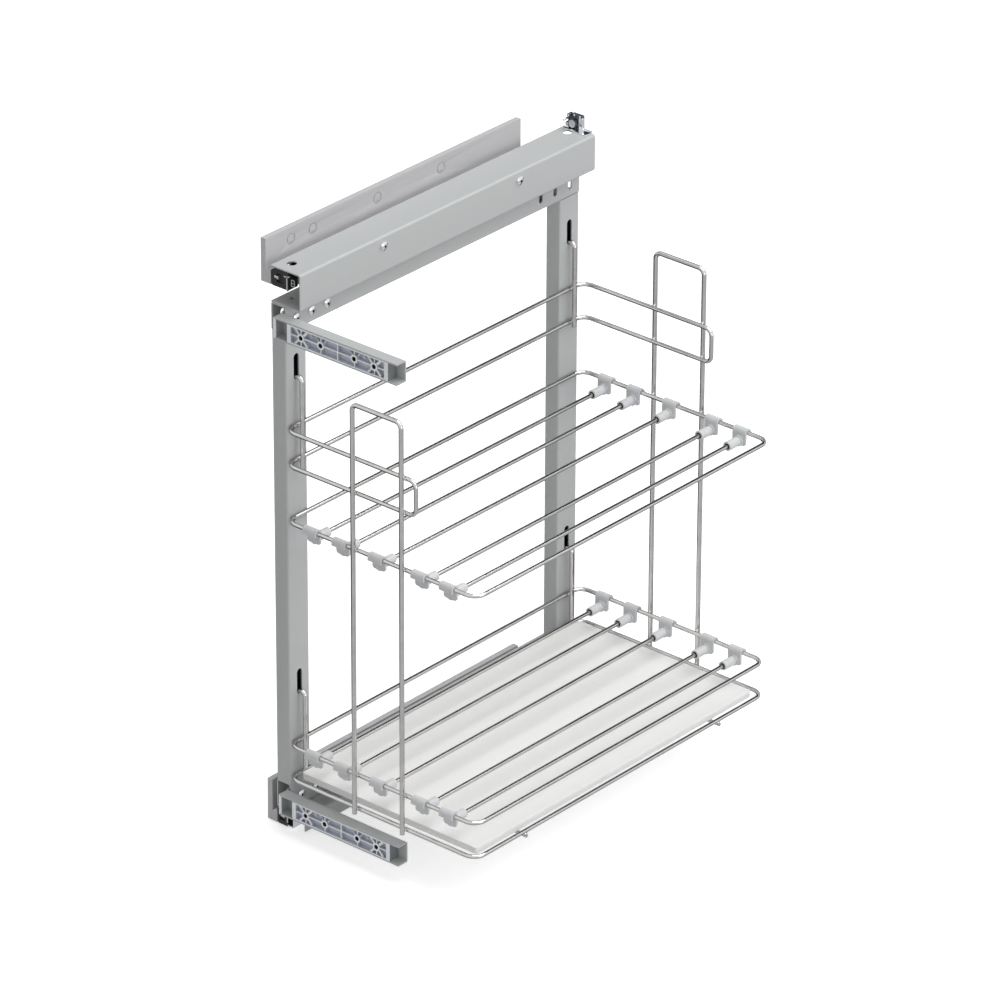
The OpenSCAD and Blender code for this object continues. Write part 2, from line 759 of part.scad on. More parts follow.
// Closed rectangle of wire at a height, with round corners
module wire_rectangle(z) {
    translate([left_x, near_y, z]) {
        for (y = [0, basket_d]) translate([basket_r, y, 0]) rod_along("x", basket_w - 2 * basket_r, wire_d);
        for (x = [0, basket_w]) translate([x, basket_r, 0]) rod_along("y", basket_d - 2 * basket_r, wire_d);
        for (sx = [0, 1], sy = [0, 1])
            translate([sx * basket_w, sy * basket_d, 0]) mirror([sx, 0, 0]) mirror([0, sy, 0])
                translate([basket_r, basket_r, 0]) rotate([0, 0, 180]) quarter_bend(basket_r, wire_d);
    }
}

// Guard hoop: one wire in two runs round three sides, closed at its ends
module guard_hoop() {
    run_l = hoop_reach - basket_r - hoop_r;
    chrome() placed() translate([left_x, near_y, -hoop_drop]) {
        for (z = [0, -hoop_gap]) translate([0, 0, z]) {
            translate([0, basket_r, 0]) rod_along("y", basket_d - 2 * basket_r, wire_d);
            for (sy = [0, 1]) translate([0, sy * basket_d, 0]) mirror([0, sy, 0]) {
                translate([basket_r, 0, 0]) rod_along("x", run_l, wire_d);
                translate([basket_r, basket_r, 0]) rotate([0, 0, 180]) quarter_bend(basket_r, wire_d);
            }
        }
        for (y = [0, basket_d]) translate([hoop_reach, y, -hoop_gap / 2]) {
            translate([0, 0, hoop_r - hoop_gap / 2]) rod_along("z", hoop_gap - 2 * hoop_r, wire_d);
            for (up = [0, 1]) mirror([0, 0, up]) translate([-hoop_r, 0, hoop_gap / 2 - hoop_r])
                rotate([90, 0, 0]) quarter_bend(hoop_r, wire_d);
        }
    }
}

module upper_basket() {
    chrome() placed() wire_rectangle(-upper_drop);
}

module lower_basket() {
    chrome() placed() wire_rectangle(-lower_drop);
}

// Tray frame with the two bars that carry the tray
module tray_frame() {
    chrome() placed() {
        wire_rectangle(-tray_drop);
        for (y = [near_y + bar_in, far_y - bar_in])
            translate([left_x - wire_d / 3, y, bar_z]) rod_along("x", basket_w + wire_d / 3 + bar_over, bar_d);
    }
}

// Inverted U of wire that joins the levels at each end of the baskets
module end_frame(y) {
    leg = tray_drop + end_tail - end_drop - end_r;
    translate([mid_x, y, -end_drop]) {
        translate([end_r - end_w / 2, 0, 0]) rod_along("x", end_w - 2 * end_r, heavy_d);
        for (side = [0, 1]) mirror([side, 0, 0]) translate([end_w / 2, 0, 0]) {
            translate([0, 0, -end_r - leg]) rod_along("z", leg, heavy_d);
            translate([-end_r, 0, -end_r]) rotate([90, 0, 0]) quarter_bend(end_r, heavy_d);
        }
    }
}

module end_frames() {
    chrome() placed() {
        end_frame(near_y - cross_gap);
        end_frame(far_y + cross_gap);
    }
}

// Hook wire: a straight leg, two bends through the slot and a short fall
module hook_wire(y, z, foot) {
    across = hook_x - hook_drop_x - 2 * hook_r;
    translate([0, y, z]) {
        translate([hook_x, 0, foot - z]) rod_along("z", z - foot - hook_r, heavy_d);
        translate([hook_x - hook_r, 0, -hook_r]) rotate([90, 0, 0]) quarter_bend(hook_r, heavy_d);
        translate([hook_drop_x + hook_r, 0, 0]) rod_along("x", across, heavy_d);
        translate([hook_drop_x + hook_r, 0, -hook_r]) rotate([90, 0, 0]) rotate([0, 0, 90])
            quarter_bend(hook_r, heavy_d);
        translate([hook_drop_x, 0, -hook_fall]) rod_along("z", hook_fall - hook_r, heavy_d);
    }
}

module hook_wires() {
    hoop_foot = -hoop_drop - hoop_gap;
    chrome() placed() {
        hook_wire(slot_in, hook_z, hoop_foot - hook_tail_front);
        hook_wire(frame_depth - slot_in, hook_z, hoop_foot - hook_tail_rear);
        for (y = [slot_in, frame_depth - slot_in]) hook_wire(y, hook_z + slot_foot - slot_low, -tray_drop);
    }
}

// Tray board that lies inside the tray frame
module tray() {
    w = basket_w - 2 * tray_side_gap;
    d = basket_d - 2 * tray_end_gap;
    color("#f4f4f2") placed() translate([left_x + tray_side_gap, near_y + tray_end_gap, tray_z])
        linear_extrude(tray_t) round_rect(w, d, tray_r);
}

// Divider rod between the sockets of its two clips
module divider_rod(level, i) {
    chrome() placed()
        translate([left_x + divider_shares[i - 1] * basket_w, near_y + rod_y, -level - rod_drop])
            rod_along("y", basket_d - 2 * rod_y, rod_d);
}

// Clip: a saddle over the wire, a hanging tongue and a socket for the rod
module divider_clip() {
    bore_l = socket_len - socket_floor;
    difference() {
        union() {
            rotate([90, 0, 90]) translate([0, 0, -clip_w / 2]) linear_extrude(clip_w) difference() {
                union() {
                    intersection() {
                        circle(r = clip_out);
                        translate([-clip_out, 0]) square([2 * clip_out, clip_out]);
                    }
                    translate([-clip_out, -clip_lip]) square([2 * clip_out, clip_lip]);
                }
                circle(r = clip_in);
                translate([-clip_in, -clip_lip - cut]) square([2 * clip_in, clip_lip + cut]);
            }
            translate([0, clip_in, 0]) difference() {
                union() {
                    translate([-clip_w / 2, 0, tail_r - tail_h]) cube([clip_w, clip_t, tail_h - tail_r]);
                    translate([tail_r - clip_w / 2, 0, -tail_h]) cube([clip_w - 2 * tail_r, clip_t, tail_h]);
                    for (side = [-1, 1]) translate([side * (clip_w / 2 - tail_r), 0, tail_r - tail_h])
                        rod_along("y", clip_t, 2 * tail_r);
                }
                translate([-clip_w, -cut, 0]) cube([2 * clip_w, clip_t + 2 * cut, clip_w]);
            }
            translate([0, clip_in, -rod_drop]) rod_along("y", clip_t + socket_len, socket_d);
            translate([0, clip_in, -rod_drop]) rod_along("y", clip_t * 2, socket_d + clip_t);
        }
        translate([0, clip_out, -rod_drop]) {
            translate([0, socket_len - bore_l, 0]) rod_along("y", bore_l + cut, rod_d + 2 * rod_fit);
            translate([0, socket_len - mouth_depth, 0]) rod_along("y", mouth_depth + cut, mouth_d);
        }
    }
}

// The two clips of one divider
module divider_clips(level, i) {
    x = left_x + divider_shares[i - 1] * basket_w;
    color("#c6c7c5") placed() {
        translate([x, near_y, -level]) divider_clip();
        translate([x, far_y, -level]) mirror([0, 1, 0]) divider_clip();
    }
}

rail(0);  // top_rail
rail(low_shift);  // bottom_rail
rail_plugs();
cabinet_member(0);  // top_cabinet_member
cabinet_member(low_shift);  // bottom_cabinet_member
middle_member(0);  // top_middle_member
middle_member(low_shift);  // bottom_middle_member
ball_cage(0, cage_y, false);  // top_outer_cage
ball_set(0, cage_y, false);  // top_outer_balls
ball_cage(0, inner_cage_y, true);  // top_inner_cage
ball_set(0, inner_cage_y, true);  // top_inner_balls
ball_cage(low_shift, cage_y, false);  // bottom_outer_cage
ball_set(low_shift, cage_y, false);  // bottom_outer_balls
ball_cage(low_shift, inner_cage_y, true);  // bottom_inner_cage
ball_set(low_shift, inner_cage_y, true);  // bottom_inner_balls
drawer_member(0, cap_depth, drawer_len);  // top_drawer_member
drawer_member(low_shift, seat_gap, drawer_len + cap_depth);  // bottom_drawer_member
runner_cap(0, run_w, true);  // top_runner_cap
runner_cap(low_shift, run_w - member_w - seat_gap, false);  // bottom_runner_cap
cover_channel();
skirt_channel();
frame_tube(0);  // top_tube
frame_tube(bracket_shift);  // bottom_tube
frame_post(0);  // front_post
frame_post(frame_depth - tube_d);  // rear_post
door_bracket(0);  // top_door_bracket
door_bracket(bracket_shift);  // bottom_door_bracket
door_insert(0);  // top_door_insert
door_insert(bracket_shift);  // bottom_door_insert
runner_sleeves();
frame_screws();
catch_plate();
catch_screw();
guard_hoop();
upper_basket();
lower_basket();
tray_frame();
end_frames();
hook_wires();
tray();
divider_rod(upper_drop, 1);  // upper_rod_1
divider_rod(upper_drop, 2);  // upper_rod_2
divider_rod(upper_drop, 3);  // upper_rod_3
divider_rod(upper_drop, 4);  // upper_rod_4
divider_rod(upper_drop, 5);  // upper_rod_5
divider_rod(lower_drop, 1);  // lower_rod_1
divider_rod(lower_drop, 2);  // lower_rod_2
divider_rod(lower_drop, 3);  // lower_rod_3
divider_rod(lower_drop, 4);  // lower_rod_4
divider_rod(lower_drop, 5);  // lower_rod_5
divider_clips(upper_drop, 1);  // upper_clips_1
divider_clips(upper_drop, 2);  // upper_clips_2
divider_clips(upper_drop, 3);  // upper_clips_3
divider_clips(upper_drop, 4);  // upper_clips_4
divider_clips(upper_drop, 5);  // upper_clips_5
divider_clips(lower_drop, 1);  // lower_clips_1
divider_clips(lower_drop, 2);  // lower_clips_2
divider_clips(lower_drop, 3);  // lower_clips_3
divider_clips(lower_drop, 4);  // lower_clips_4
divider_clips(lower_drop, 5);  // lower_clips_5
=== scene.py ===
# %% [markdown]
# Pull out larder unit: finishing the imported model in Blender.
# The real unit hangs on the side wall of a narrow kitchen cabinet. Two steel
# rails carry ball bearing runners, the runners carry a tube frame with two wire
# baskets and a tray, and two brackets at the front hold the cabinet's door.
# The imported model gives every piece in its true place, in metres. This script
# puts finishes on those pieces, adds the small details that a maker leaves
# behind, such as weld beads, and sets up the light and the camera.

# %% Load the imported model
import math
import random
import bpy
import bmesh
from mathutils import Matrix, Vector


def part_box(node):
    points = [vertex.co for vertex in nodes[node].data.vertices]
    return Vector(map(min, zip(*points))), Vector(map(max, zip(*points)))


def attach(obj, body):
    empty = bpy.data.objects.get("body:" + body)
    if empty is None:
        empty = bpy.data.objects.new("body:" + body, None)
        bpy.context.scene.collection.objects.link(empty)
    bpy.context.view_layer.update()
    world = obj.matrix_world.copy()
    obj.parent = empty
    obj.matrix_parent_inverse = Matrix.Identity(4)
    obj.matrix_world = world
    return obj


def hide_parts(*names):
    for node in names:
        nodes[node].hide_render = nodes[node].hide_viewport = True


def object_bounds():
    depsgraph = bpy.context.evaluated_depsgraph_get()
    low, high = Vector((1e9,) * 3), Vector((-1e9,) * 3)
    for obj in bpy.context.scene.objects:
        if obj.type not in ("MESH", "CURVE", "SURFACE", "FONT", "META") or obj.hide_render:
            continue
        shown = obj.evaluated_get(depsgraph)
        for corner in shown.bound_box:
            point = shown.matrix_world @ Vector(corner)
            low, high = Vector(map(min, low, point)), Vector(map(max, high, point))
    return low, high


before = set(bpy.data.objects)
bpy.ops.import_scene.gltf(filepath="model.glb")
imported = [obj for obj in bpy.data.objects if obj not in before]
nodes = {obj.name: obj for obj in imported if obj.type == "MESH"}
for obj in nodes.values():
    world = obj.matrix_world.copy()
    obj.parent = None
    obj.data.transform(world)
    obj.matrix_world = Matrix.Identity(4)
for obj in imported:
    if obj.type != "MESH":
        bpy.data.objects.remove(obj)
model_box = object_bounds()

# %% [markdown]
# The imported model's origin is the middle of the front pair of wall screws. The
# drawing of the unit was made from the front left top corner of its tube frame
# instead, so one small function turns a drawing point in millimetres into a
# place in the scene in metres.

# %% Places and lengths
MM = 0.001
DATUM = Vector((13.0, -53.0, 290.5))


def place(x, y, z):
    return (Vector((x, y, z)) + DATUM) * MM


print("tube frame corner at", [round(v, 4) for v in place(0, 0, 0)])

# %% [markdown]
# The camera stands where the photographer stood: well back with a long lens,
# turned 41 degrees to the right of the unit's front and 27 degrees above it.
# The angles, the distance, the lens and a small shift were fitted to the corners
# of the rails, the tubes and the wires, so that the drawn unit covers the real
# one.

# %% Camera
TURN = math.radians(40.707)
LIFT = math.radians(27.163)
ROLL = math.radians(0.239)
DISTANCE = 7.1638
LENS_MM = 255.46
LOOK_AT = Vector((0.149, 0.1702, 0.0045))
SHIFT_LEFT, SHIFT_DOWN = 0.02265, 0.01209

back = Vector((math.sin(TURN) * math.cos(LIFT), -math.cos(TURN) * math.cos(LIFT), math.sin(LIFT)))
level = Vector((math.cos(TURN), math.sin(TURN), 0))
upward = back.cross(level)
aim = LOOK_AT - level * SHIFT_LEFT - upward * SHIFT_DOWN
across = level * math.cos(ROLL) + upward * math.sin(ROLL)
raised = upward * math.cos(ROLL) - level * math.sin(ROLL)

lens = bpy.data.cameras.new("photo_camera")
lens.lens = LENS_MM
lens.sensor_width = 36.0
lens.clip_end = 60.0
camera = bpy.data.objects.new("photo_camera", lens)
bpy.context.scene.collection.objects.link(camera)
eye = aim + back * DISTANCE
camera.matrix_world = Matrix((
    (across.x, raised.x, back.x, eye.x),
    (across.y, raised.y, back.y, eye.y),
    (across.z, raised.z, back.z, eye.z),
    (0, 0, 0, 1)))
bpy.context.scene.camera = camera
print("camera at", [round(v, 3) for v in eye])

# %% [markdown]
# Every finish below is built from the same few steps: a Principled shader, the
# piece's own coordinates, and patterns whose scale comes from a real size. One
# function adds a node, sets it and links it. Colours are written as a paint
# maker writes them, in sRGB hex, and one function turns them to linear light.
# Four short functions build what every finish repeats: a noise with a grain
# size in millimetres, two tones mixed by it, a gloss that varies with it, and
# low bumps.

# %% Helpers for finishes


def linear(hex_colour):
    parts = [int(hex_colour[i:i + 2], 16) / 255 for i in (1, 3, 5)]
    light = [p / 12.92 if p <= 0.04045 else ((p + 0.055) / 1.055) ** 2.4 for p in parts]
    return (light[0], light[1], light[2], 1.0)


def add_node(tree, kind, links=None, values=None, **settings):
    new = tree.nodes.new(kind)
    for name, value in settings.items():
        setattr(new, name, value)
    for name, value in (values or {}).items():
        new.inputs[name].default_value = value
    for name, source in (links or {}).items():
        tree.links.new(source, new.inputs[name])
    return new


def start_finish(name, **shader_values):
    finish = bpy.data.materials.new(name)
    finish.use_nodes = True
    tree = finish.node_tree
    tree.nodes.clear()
    out = add_node(tree, "ShaderNodeOutputMaterial")
    shader = add_node(tree, "ShaderNodeBsdfPrincipled")
    for key, value in shader_values.items():
        shader.inputs[key.replace("_", " ")].default_value = value
    tree.links.new(shader.outputs[0], out.inputs["Surface"])
    coords = add_node(tree, "ShaderNodeTexCoord")
    return finish, tree, shader, coords.outputs["Object"]


def noise(tree, where, grain, detail):
    texture = add_node(tree, "ShaderNodeTexNoise", {"Vector": where},
                       {"Scale": 1 / (grain * MM), "Detail": detail})
    return texture.outputs["Fac"]


def two_tone(tree, shader, factor, first, second):
    blend = add_node(tree, "ShaderNodeMix", {"Factor": factor}, data_type="RGBA")
    blend.inputs["A"].default_value = linear(first)
    blend.inputs["B"].default_value = linear(second)
    tree.links.new(blend.outputs["Result"], shader.inputs["Base Color"])


def vary_gloss(tree, shader, pattern, seen, roughness):
    gloss = add_node(tree, "ShaderNodeMapRange", {"Value": pattern},
                     {"From Min": seen[0], "From Max": seen[1], "To Min": roughness[0], "To Max": roughness[1]})
    tree.links.new(gloss.outputs[0], shader.inputs["Roughness"])


def raise_bumps(tree, shader, height, strength, depth):
    bump = add_node(tree, "ShaderNodeBump", {"Height": height}, {"Strength": strength, "Distance": depth * MM})
    tree.links.new(bump.outputs[0], shader.inputs["Normal"])


def give_finish(finish, names):
    for name in names:
        piece = nodes[name]
        piece.data.materials.clear()
        piece.data.materials.append(finish)
    print(finish.name, "on", len(names), "pieces")


# %% [markdown]
# Chrome plated wire. The baskets, the rods, the guard hoop and the end frames
# are bent from drawn steel wire, welded, and plated in one go. Chrome is a
# mirror. A grey edge tint darkens it where it is seen at a flat angle, which is
# painted shade along the edges of every wire. Drawing leaves faint lines along
# the wire and the plating softens them, so the surface has a slow ripple, and
# small dull patches where hands and hooks have touched it.

# %% Chrome plated steel wire
chrome, tree, shader, spot = start_finish("chrome_plated_steel_wire", Metallic=1.0)
# The grey edge tint is painted shade on the grazing edges of the wires.
shader.inputs["Specular Tint"].default_value = linear("#8B8B8C")
haze = noise(tree, spot, 14, 3.0)
tint = add_node(tree, "ShaderNodeMapRange", {"Value": haze},
                {"From Min": 0.35, "From Max": 0.7, "To Min": 0.0, "To Max": 1.0})
two_tone(tree, shader, tint.outputs[0], "#D2D1CF", "#C6C5C2")
vary_gloss(tree, shader, haze, (0.3, 0.75), (0.04, 0.1))
ripple = noise(tree, spot, 4, 2.0)
raise_bumps(tree, shader, ripple, 0.06, 0.5)

rods = [level + "_rod_" + str(i) for level in ("upper", "lower") for i in range(1, 6)]
give_finish(chrome, ["guard_hoop", "upper_basket", "lower_basket", "tray_frame",
                     "end_frames", "hook_wires"] + rods)

# %% [markdown]
# Powder coated steel. The tube frame, the covers and the door brackets are
# sprayed with a silver grey powder and baked. The coat is satin, a little
# uneven like orange peel with bumps two or three millimetres apart, and fine
# metal flakes in it make it a touch lighter and darker from grain to grain.

# %% Silver grey powder coat
powder, tree, shader, spot = start_finish("silver_grey_powder_coat", Metallic=0.1, Roughness=0.45)
flake = noise(tree, spot, 0.8, 2.0)
two_tone(tree, shader, flake, "#B5B8B8", "#C3C5C5")
peel = noise(tree, spot, 2.5, 1.0)
raise_bumps(tree, shader, peel, 0.12, 0.15)

give_finish(powder, ["top_tube", "bottom_tube", "front_post", "rear_post", "cover_channel",
                     "skirt_channel", "top_door_bracket", "bottom_door_bracket"])

# %% [markdown]
# Painted rails. The two wall rails are rolled from strip and painted a
# slightly warmer, more lilac grey than the frame. The strip was rolled along
# its length, so very faint lines run front to back under the paint.

# %% Lilac grey paint on rolled strip
rail_paint, tree, shader, spot = start_finish("lilac_grey_paint_on_rolled_strip", Metallic=0.15, Roughness=0.45)
along = add_node(tree, "ShaderNodeMapping", {"Vector": spot}, {"Scale": (1.0, 0.04, 1.0)})
lines = noise(tree, along.outputs[0], 1.2, 2.0)
two_tone(tree, shader, lines, "#BEBDBF", "#C9C8CA")
raise_bumps(tree, shader, lines, 0.08, 0.1)

give_finish(rail_paint, ["top_rail", "bottom_rail", "rail_plugs"])

# %% [markdown]
# Bright zinc plate. The runners' members are rolled from strip that was zinc
# plated, which keeps fine rolling lines and a cool, slightly cloudy shine.

# %% Bright zinc plate on the runners
zinc, tree, shader, spot = start_finish("bright_zinc_plated_strip", Metallic=1.0)
along = add_node(tree, "ShaderNodeMapping", {"Vector": spot}, {"Scale": (1.0, 0.03, 1.0)})
lines = noise(tree, along.outputs[0], 0.7, 3.0)
cloud = noise(tree, spot, 20, 4.0)
two_tone(tree, shader, cloud, "#CFD3D8", "#E2E4E6")
vary_gloss(tree, shader, lines, (0.3, 0.7), (0.24, 0.38))
raise_bumps(tree, shader, lines, 0.1, 0.1)

give_finish(zinc, [end + "_" + part for end in ("top", "bottom") for part in
                   ("cabinet_member", "middle_member", "drawer_member", "outer_cage", "inner_cage")]
            + ["runner_sleeves", "catch_screw"])

# %% [markdown]
# Screws and catch. Small fasteners are turned or stamped, zinc plated in a
# barrel and left bright, so each rounded head is a little mirror with a dark
# crescent in it. The barrel leaves fine dents, which a small bump gives back.

# %% Barrel plated steel
barrel_plate, tree, shader, spot = start_finish("barrel_plated_bright_steel", Metallic=1.0)
dents = noise(tree, spot, 1.6, 2.0)
two_tone(tree, shader, dents, "#DADCE0", "#ECEDEE")
vary_gloss(tree, shader, dents, (0.3, 0.7), (0.07, 0.16))
raise_bumps(tree, shader, dents, 0.12, 0.15)

give_finish(barrel_plate, ["frame_screws", "catch_plate"])

# %% [markdown]
# Dark metal. The catch's springs are blackened in hot oil. The same dark steel
# also paints shade in the screw sockets and behind the catch. The second dark
# steel is painted shade, for the insides of the posts and the holes of the
# inserts. Both are a little lighter in patches.

# %% Blackened spring steel and painted shade steel
dark_finishes = []
for dark_name, first, second, dullness in (
        ("oil_blackened_steel_and_painted_shade", "#3A3D44", "#6A707A", 0.22),
        ("dark_steel_painted_shade", "#3F4143", "#55585A", 0.6)):
    dark_steel, tree, shader, spot = start_finish(dark_name, Metallic=0.7, Roughness=dullness)
    patch = noise(tree, spot, 4, 4.0)
    two_tone(tree, shader, patch, first, second)
    raise_bumps(tree, shader, patch, 0.1, 0.1)
    dark_finishes.append(dark_steel)
blackened_steel_and_painted_shade, painted_shade_steel = dark_finishes
print("dark finishes:", blackened_steel_and_painted_shade.name, "and", painted_shade_steel.name)

# %% [markdown]
# A screw's socket is too deep for light to come back out, and a little of the
# blackening oil stays in it. The faces near each screw's axis, behind the crown
# of its head, get the dark steel, which is painted shade with a little real oil.

# %% Painted shade in the screw sockets
COVER_OUT, COVER_LENGTH, RAIL_PITCH = 39.0, 448.0, 608
TUBE_OUT, SLOT_IN, BRACKET_PITCH = 19.0, 15.0, 538
SOCKET_R, SOCKET_SHALLOW, SOCKET_DEEP = 1.6, 1.1, 2.55
screw_axes = [(COVER_OUT, COVER_LENGTH * share, drop - 10.5)
              for drop in (0, -RAIL_PITCH) for share in (0.274, 0.735)]
screw_axes += [(TUBE_OUT, SLOT_IN * step, drop - 57.0)
               for drop in (0, -BRACKET_PITCH) for step in (1, 2.53, 4.03)]
screws = nodes["frame_screws"].data
screws.materials.append(blackened_steel_and_painted_shade)
darkened = 0
for seat in screw_axes:
    seat = place(*seat)
    for face in screws.polygons:
        off = face.center - seat
        if math.hypot(off.y, off.z) < SOCKET_R * MM and SOCKET_SHALLOW * MM < off.x < SOCKET_DEEP * MM:
            face.material_index = 1
            darkened += 1
print(len(screw_axes), "sockets,", darkened, "dark faces")

# %% [markdown]
# Hardened steel balls. Each runner rolls on polished balls held in its cages.

# %% Polished bearing steel
ball_steel, tree, shader, spot = start_finish("polished_bearing_steel", Metallic=1.0, Roughness=0.12)
oil = noise(tree, spot, 3, 2.0)
two_tone(tree, shader, oil, "#C9CACA", "#DAD9D5")

give_finish(ball_steel, [end + "_" + part for end in ("top", "bottom") for part in ("outer_balls", "inner_balls")])

# %% [markdown]
# Die cast zinc inserts. The ribbed blocks in the door brackets are cast under
# pressure and tumbled, which leaves a cool satin skin with a fine grain.

# %% Tumbled zinc casting
casting, tree, shader, spot = start_finish("tumbled_zinc_die_casting", Metallic=0.3, Roughness=0.36)
grain = noise(tree, spot, 0.9, 4.0)
two_tone(tree, shader, grain, "#BFC4CE", "#D3D7DF")
raise_bumps(tree, shader, grain, 0.15, 0.12)

give_finish(casting, ["top_door_insert", "bottom_door_insert"])

# %% [markdown]
# Moulded clips. The clips that hold the divider rods slide on the basket
# wires. They are moulded in pale grey polyoxymethylene, a slippery plastic
# that looks waxy and lets a little light into its thin lips.

# %% Pale grey acetal
acetal, tree, shader, spot = start_finish("pale_grey_moulded_acetal", Roughness=0.38)
shader.inputs["Subsurface Weight"].default_value = 0.08
shader.inputs["Subsurface Scale"].default_value = 1.0 * MM
skin = noise(tree, spot, 5, 2.0)
two_tone(tree, shader, skin, "#CFD1D3", "#D9DADB")
raise_bumps(tree, shader, skin, 0.05, 0.2)

give_finish(acetal, [level + "_clips_" + str(i) for level in ("upper", "lower") for i in range(1, 6)])

# %% [markdown]
# Runner end caps. Black moulded nylon with a fine spark eroded grain.

# %% Black moulded nylon
nylon, tree, shader, spot = start_finish("black_moulded_nylon", Roughness=0.45)
grain = noise(tree, spot, 0.7, 3.0)
two_tone(tree, shader, grain, "#141516", "#232527")
raise_bumps(tree, shader, grain, 0.2, 0.1)

give_finish(nylon, ["top_runner_cap", "bottom_runner_cap"])

# %% [markdown]
# The tray is a thin board faced with white melamine. The facing is pressed
# against a plate with a fine pearl grain, so it is white, satin and slightly
# pebbled.

# %% White melamine
melamine, tree, shader, spot = start_finish("white_melamine_facing", Roughness=0.3)
pearl = noise(tree, spot, 1.5, 2.0)
two_tone(tree, shader, pearl, "#F7F7F6", "#FBFBFA")
raise_bumps(tree, shader, pearl, 0.06, 0.1)

give_finish(melamine, ["tray"])

# %% [markdown]
# Modelling helpers. Each new piece starts as a primitive at its size and place,
# and is then shaped in edit mode. The operators work on what is selected, so
# everything is deselected first, and edges are picked in code by where they
# lie. At the end the object's place is applied, so that its pattern and its
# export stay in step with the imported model.

# %% Helpers for modelling


def start_block(name, low, high):
    bpy.ops.object.select_all(action="DESELECT")
    low, high = place(*low), place(*high)
    bpy.ops.mesh.primitive_cube_add(size=1.0, location=(low + high) / 2)
    block = bpy.context.active_object
    block.name = name
    block.scale = high - low
    bpy.ops.object.transform_apply(location=True, rotation=True, scale=True)
    return block


def start_rod(name, foot, axis, length, diameter, sides=24):
    bpy.ops.object.select_all(action="DESELECT")
    middle = place(*foot) + Vector(axis) * length * MM / 2
    turn = Vector(axis).to_track_quat("Z", "Y").to_euler()
    bpy.ops.mesh.primitive_cylinder_add(vertices=sides, radius=diameter * MM / 2,
                                        depth=length * MM, location=middle, rotation=turn)
    rod = bpy.context.active_object
    rod.name = name
    bpy.ops.object.transform_apply(location=True, rotation=True, scale=True)
    return rod


def pick(piece, edge_test=None, face_test=None):
    bpy.ops.object.mode_set(mode="EDIT")
    bpy.ops.mesh.select_mode(type="EDGE" if edge_test else "FACE")
    bpy.ops.mesh.select_all(action="DESELECT")
    shape = bmesh.from_edit_mesh(piece.data)
    picked = 0
    if edge_test:
        for edge in shape.edges:
            a, b = edge.verts[0].co, edge.verts[1].co
            if edge_test((a + b) / 2, (b - a).normalized()):
                edge.select_set(True)
                picked += 1
    else:
        for face in shape.faces:
            if face_test(face.calc_center_median(), face.normal):
                face.select_set(True)
                picked += 1
    bmesh.update_edit_mesh(piece.data)
    return picked


def round_edges(piece, edge_test, radius, steps=3):
    picked = pick(piece, edge_test=edge_test)
    bpy.ops.mesh.bevel(offset=radius * MM, segments=steps, affect="EDGES")
    bpy.ops.object.mode_set(mode="OBJECT")
    return picked


def join_pieces(name, parts):
    bpy.ops.object.select_all(action="DESELECT")
    for part in parts:
        part.select_set(True)
    bpy.context.view_layer.objects.active = parts[0]
    bpy.ops.object.join()
    parts[0].name = name
    return parts[0]


def finish_piece(piece, body, finish, smooth_to=35):
    bpy.ops.object.select_all(action="DESELECT")
    piece.select_set(True)
    bpy.context.view_layer.objects.active = piece
    bpy.ops.object.mode_set(mode="EDIT")
    bpy.ops.mesh.select_all(action="SELECT")
    bpy.ops.mesh.remove_doubles(threshold=0.00001)
    bpy.ops.mesh.normals_make_consistent(inside=False)
    bpy.ops.object.mode_set(mode="OBJECT")
    bpy.ops.object.shade_smooth_by_angle(angle=math.radians(smooth_to))
    if not piece.data.materials:
        piece.data.materials.append(finish)
    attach(piece, body)
    print(piece.name, "rides on", body, "with", len(piece.data.polygons), "faces")


# %% [markdown]
# Sheet and tube never have razor edges: a punch rounds them a little, and the
# coat pulls back and rounds them more, so every edge carries a thin bright or
# dark line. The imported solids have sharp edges. A copy of each is cleaned up,
# its flat faces are joined, and a bevel a few tenths of a millimetre wide is
# put on the sharp edges only. The bends and the bores keep their curves. The
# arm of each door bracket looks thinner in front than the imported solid, so the
# front left face of its copy is set back.

# %% Eased edges on sheet, tube and castings
ARM_SET_BACK, STRIP_RECESS = 3.7, 0.3
JOIN_WITHIN = 0.000002


def thin_front_arm(piece):
    moved = 0
    for point in piece.data.vertices:
        local = point.co / MM - DATUM
        if local.y < -13.9 and local.x < 16.6:
            point.co.y += STRIP_RECESS * MM
        if local.y < -1.0 and local.x < 11.7:
            point.co.x += ARM_SET_BACK * MM
            moved += 1
    print(piece.name, "arm thinned,", moved, "points")


def ease_edges(name, body, width):
    copy = bpy.data.objects.new(name + "_eased", nodes[name].data.copy())
    bpy.context.scene.collection.objects.link(copy)
    bpy.ops.object.select_all(action="DESELECT")
    copy.select_set(True)
    bpy.context.view_layer.objects.active = copy
    bpy.ops.object.mode_set(mode="EDIT")
    bpy.ops.mesh.select_all(action="SELECT")
    bpy.ops.mesh.remove_doubles(threshold=JOIN_WITHIN)
    bpy.ops.mesh.dissolve_limited(angle_limit=math.radians(0.5))
    bpy.ops.object.mode_set(mode="OBJECT")
    if "door_bracket" in name:
        thin_front_arm(copy)
    bpy.ops.object.shade_smooth_by_angle(angle=math.radians(35))
    soften = copy.modifiers.new("eased_edges", "BEVEL")
    soften.width = width * MM
    soften.segments = 2
    soften.limit_method = "ANGLE"
    soften.angle_limit = math.radians(50)
    soften.use_clamp_overlap = True
    soften.harden_normals = True
    bpy.ops.object.modifier_apply(modifier=soften.name)
    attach(copy, body)
    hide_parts(name)
    return len(copy.data.polygons)


